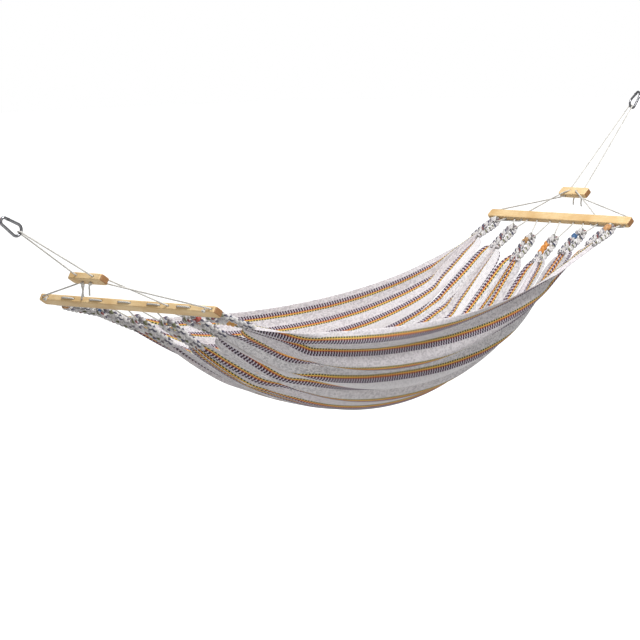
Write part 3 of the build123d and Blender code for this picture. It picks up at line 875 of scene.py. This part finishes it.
def add_loop(side, number, material):
    """A braid out of the cloth, round the lacing cord and back in."""
    eye = eye_frame(side, number)
    length = LOOP_LENGTH[side]
    legs = [
        (length + 0.012, -LEG_SPREAD, 0.000), (length * 0.62, -LEG_SPREAD * 1.05, 0.0035),
        (length * 0.28, -LEG_SPREAD * 0.62, 0.0095), (0.006, -0.0025, BOW_RADIUS),
        (-BOW_RADIUS * 0.72, 0, BOW_RADIUS * 1.02), (-BOW_RADIUS * 1.22, 0, 0),
        (-BOW_RADIUS * 0.72, 0, -BOW_RADIUS * 1.02), (0.006, 0.0025, -BOW_RADIUS),
        (length * 0.28, LEG_SPREAD * 0.62, -0.0095), (length * 0.62, LEG_SPREAD * 1.05, -0.0035),
        (length + 0.012, LEG_SPREAD, 0.000),
    ]
    line = smooth_line([eye @ Vector(p) for p in legs], LINE_STEP)
    name = f"{side}_braided_loop_{number}"
    seed = number + (10 if side == "right" else 0)
    piece = joined(name, braid_meshes(name, line, eye.to_3x3().col[1], seed), material)
    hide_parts(f"{side}_loop_{number}")
    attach(piece, "hammock")


# ================================================================ the bed's cloth

def loop_base(side, number):
    return eye_frame(side, number) @ Vector((LOOP_LENGTH[side] - 0.008, 0, 0))


BASES = {side: [loop_base(side, number) for number in range(LOOPS_PER_END, 0, -1)] for side in SIDES}


def end_point(side, across):
    """A point of the cloth's end, on the line through the loops' bases and a little past it."""
    bases = BASES[side]
    spot = (across + 1) / 2 * (LOOPS_PER_END - 1)
    before = max(0, min(int(spot), LOOPS_PER_END - 2))
    share = spot - before
    point = bases[before] * (1 - share) + bases[before + 1] * share
    return Vector((point.x, point.y * (1 + CLOTH_EDGE / loop_side(1)), point.z))


def sag(along, across):
    """How far the bed hangs below the straight line between its ends."""
    rim = RIM_SAG_FAR if across > 0 else RIM_SAG_NEAR
    deepest = rim + (CENTRE_SAG - rim) * (1 - min(1, abs(across)) ** BELLY_POWER)
    from_middle = 2 * along - 1
    lean = 1 + SAG_LEAN * from_middle * 4 * along * (1 - along)
    return deepest * (1 - abs(from_middle) ** LENGTH_POWER) * lean


def bed_point(along, across):
    """A point of the bed's plain hanging surface: along 0 to 1, across -1 at the near rim to 1."""
    start = end_point("left", across)
    finish = end_point("right", across)
    from_end = min(1, min(along, 1 - along) / END_ZONE)
    in_middle = from_end ** 2 * (3 - 2 * from_end)
    narrowing = 1 - WAIST * math.sin(math.pi * along)
    wall = math.pi / 2 * WALL_STEEPNESS
    end_side = (start.y * (1 - along) + finish.y * along) * narrowing
    middle_side = math.sin(wall * across) / math.sin(wall) * (loop_side(1) + CLOTH_EDGE) * narrowing
    return Vector((start.x + (finish.x - start.x) * along,
                   end_side * (1 - in_middle) + middle_side * in_middle,
                   start.z + (finish.z - start.z) * along - sag(along, across)))


def smoothstep(value):
    value = max(0.0, min(1.0, value))
    return value * value * (3 - 2 * value)


def long_fold(along, across, amount):
    """How far the long drooping folds move a point of the bed: most on the near wall, under its rim."""
    step = 0.004
    ahead = bed_point(min(1, along + step), across) - bed_point(max(0, along - step), across)
    aside = bed_point(along, min(1, across + step)) - bed_point(along, max(-1, across - step))
    aside.normalize()
    inward = ahead.cross(aside).normalized()
    near = smoothstep((0.15 - across) / 0.9)
    far = 0.45 * smoothstep((across - 0.1) / 0.6)
    meander = 0.50 * noise.noise(Vector((along * 1.5, across * 1.1, 2.0))) + 0.35 * (along - 0.5)
    wave = math.cos(2 * math.pi * ((across + 1) / FOLD_PITCH + meander))
    strength = 0.65 + 0.6 * noise.noise(Vector((along * 1.6, across * 2.7, 8.0)))
    size = amount * (near + far) * max(0.15, strength)
    edge = smoothstep((1 - abs(across)) / 0.08)
    bulge = FOLD_DEPTH * size * wave
    droop = FOLD_DROOP * size * (wave + 1) / 2 * edge
    return inward * -bulge + aside * (droop if across < 0 else -droop)


def cloth_place(along, section, share):
    """A point of the gathered cloth, and its flat place across in sections.

    The section is 0 to 5, and the share of it -0.5 to 0.5.
    """
    from_end = min(along, 1 - along) * CLOTH_LENGTH
    opened = smoothstep(from_end / GATHER_REACH)
    gather_middle = (-1 + 0.4 * section) * loop_side(1) / (loop_side(1) + CLOTH_EDGE)
    free_middle = (section + 0.5) / LOOPS_PER_END * 2 - 1
    centre = gather_middle * (1 - opened) + free_middle * opened
    outermost = section == 0 and share < 0 or section == LOOPS_PER_END - 1 and share > 0
    gathered = EDGE_SPREAD if outermost else GATHERED_SPREAD
    half_pitch = gathered * (1 - opened) + opened / LOOPS_PER_END
    arch = 1 - (1 - min(1, from_end / NOTCH)) ** 2
    reach = BUNDLE + (half_pitch - BUNDLE) * math.sqrt(arch)
    power = 1 + 1.3 * (1 - opened)
    local = 2 * abs(share)
    across = centre + math.copysign(reach * local ** power, share)
    stretch = reach * power * max(local, 0.02) ** (power - 1) * 2 * (loop_side(1) + CLOTH_EDGE)
    ratio = min(1, stretch / (CLOTH_WIDTH / LOOPS_PER_END))
    base = bed_point(along, across)
    wave = noise.noise(Vector((section * 3.1, along * 2.2, 0.4)))
    phase = (share + 0.5) * FOLDS + 0.35 * wave + section * 0.23
    triangle = 2 * abs(2 * (phase - math.floor(phase + 0.5))) - 1
    rounded = math.sin(triangle * math.pi / 2)
    fullest = CLOTH_WIDTH / LOOPS_PER_END / FOLDS / 4
    height = fullest * math.sqrt(1 - ratio ** 2) * smoothstep(2.2 * (1 - opened)) * rounded
    base += long_fold(along, across, opened)
    fade = smoothstep((from_end + 0.10) / 0.16)
    return base + Vector((0, 0, height * (0.55 + 0.45 * fade))), (section + 0.5 + share)


def flat_places(along, points, plain):
    """Where each point of one row lies across the flat cloth: by true width, or evenly in a gather."""
    steps = [0.0]
    for before, after in zip(points, points[1:]):
        steps.append(steps[-1] + (after - before).length)
    opened = smoothstep(min(along, 1 - along) * CLOTH_LENGTH / GATHER_REACH)
    return [opened * CLOTH_WIDTH * step / steps[-1] + (1 - opened) * even for step, even in zip(steps, plain)]


def cloth_mesh():
    """The whole sheet with its six gathers and five open arches at each end. UVs are its flat metres."""
    mesh = bmesh.new()
    layer = mesh.loops.layers.uv.new("UVMap")
    pins = mesh.verts.layers.float.new("pin")
    width = CLOTH_WIDTH / LOOPS_PER_END
    rows = []
    for row in range(ROWS + 1):
        along = row / ROWS
        places = [cloth_place(along, section, column / COLUMNS - 0.5)
                  for section in range(LOOPS_PER_END) for column in range(COLUMNS + 1)]
        flats = flat_places(along, [point for point, _ in places], [flat * width for _, flat in places])
        pinned = 1.0 if min(along, 1 - along) * CLOTH_LENGTH < PINNED_REACH else 0.0
        line = []
        for (point, _), flat in zip(places, flats):
            vertex = mesh.verts.new(point)
            vertex[pins] = pinned
            line.append((vertex, (along * CLOTH_LENGTH, flat)))
        rows.append(line)
    for before, after in zip(rows, rows[1:]):
        for section in range(LOOPS_PER_END):
            for column in range(COLUMNS):
                here = section * (COLUMNS + 1) + column
                corners = [before[here], after[here], after[here + 1], before[here + 1]]
                face = mesh.faces.new([c[0] for c in corners])
                face.smooth = True
                for loop, corner in zip(face.loops, corners):
                    loop[layer].uv = corner[1]
    bmesh.ops.remove_doubles(mesh, verts=mesh.verts, dist=0.00005)
    result = bpy.data.meshes.new("bed_cloth_sheet")
    mesh.to_mesh(result)
    mesh.free()
    return result


def simulate_cloth(piece):
    """Lets the sheet hang from its gathers, so that its folds settle under their own weight."""
    pins = piece.vertex_groups.new(name="pins")
    values = piece.data.attributes["pin"].data
    held = [i for i, value in enumerate(values) if value.value > 0.5]
    pins.add(held, 1.0, "REPLACE")
    cloth = piece.modifiers.new("hang", "CLOTH")
    settings = cloth.settings
    settings.quality = 6
    settings.mass = 0.004
    settings.tension_stiffness = 60
    settings.compression_stiffness = 30
    settings.shear_stiffness = 12
    settings.bending_stiffness = 0.6
    settings.air_damping = 4
    settings.vertex_group_mass = "pins"
    cloth.collision_settings.use_collision = False
    cloth.collision_settings.use_self_collision = False
    scene = bpy.context.scene
    scene.frame_start = 1
    scene.frame_end = SETTLE_FRAMES
    cloth.point_cache.frame_start = 1
    cloth.point_cache.frame_end = SETTLE_FRAMES
    for step in range(1, SETTLE_FRAMES + 1):
        scene.frame_set(step)
    evaluated = piece.evaluated_get(bpy.context.evaluated_depsgraph_get())
    settled = np.array([v.co for v in evaluated.data.vertices])
    piece.modifiers.clear()
    scene.frame_set(1)
    hung = np.array([v.co for v in piece.data.vertices])
    moved = settled - hung
    length = np.linalg.norm(moved, axis=1)[:, None]
    print(f"cloth moved: median {np.median(length):.4f}, most {length.max():.4f} m")
    settled = hung + moved * np.minimum(1, SETTLE_LIMIT / np.maximum(length, 1e-9))
    piece.data.vertices.foreach_set("co", settled.astype(np.float32).ravel())
    piece.data.update()


def add_cloth():
    piece = add_object("striped_bed", cloth_mesh(), cloth_material())
    simulate_cloth(piece)
    solid = piece.modifiers.new("thickness", "SOLIDIFY")
    solid.thickness = CLOTH_THICKNESS
    solid.offset = 0
    smooth = piece.modifiers.new("smooth", "SUBSURF")
    smooth.levels = 1
    smooth.render_levels = 1
    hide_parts("bed_cloth")
    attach(piece, "hammock")


# ================================================================ all of it

def main():
    add_camera()
    add_light_and_floor()
    cord = cord_material()
    for side in SIDES:
        add_hanging_cord(side, cord)
        add_fan_cord(side, -OUTWARD[side], "near", cord)
        add_fan_cord(side, OUTWARD[side], "far", cord)
        add_lacing_cord(side, cord)
        add_tensioner_knots(side, cord)
    finish_wood_and_steel()
    for side in SIDES:
        for number in range(1, LOOPS_PER_END + 1):
            strand_length = 2.5 * LOOP_LENGTH[side]
            material = yarn_material(f"{side}_braid_{number}", ACCENTS.get((side, number)), strand_length)
            add_loop(side, number, material)
    add_cloth()


main()
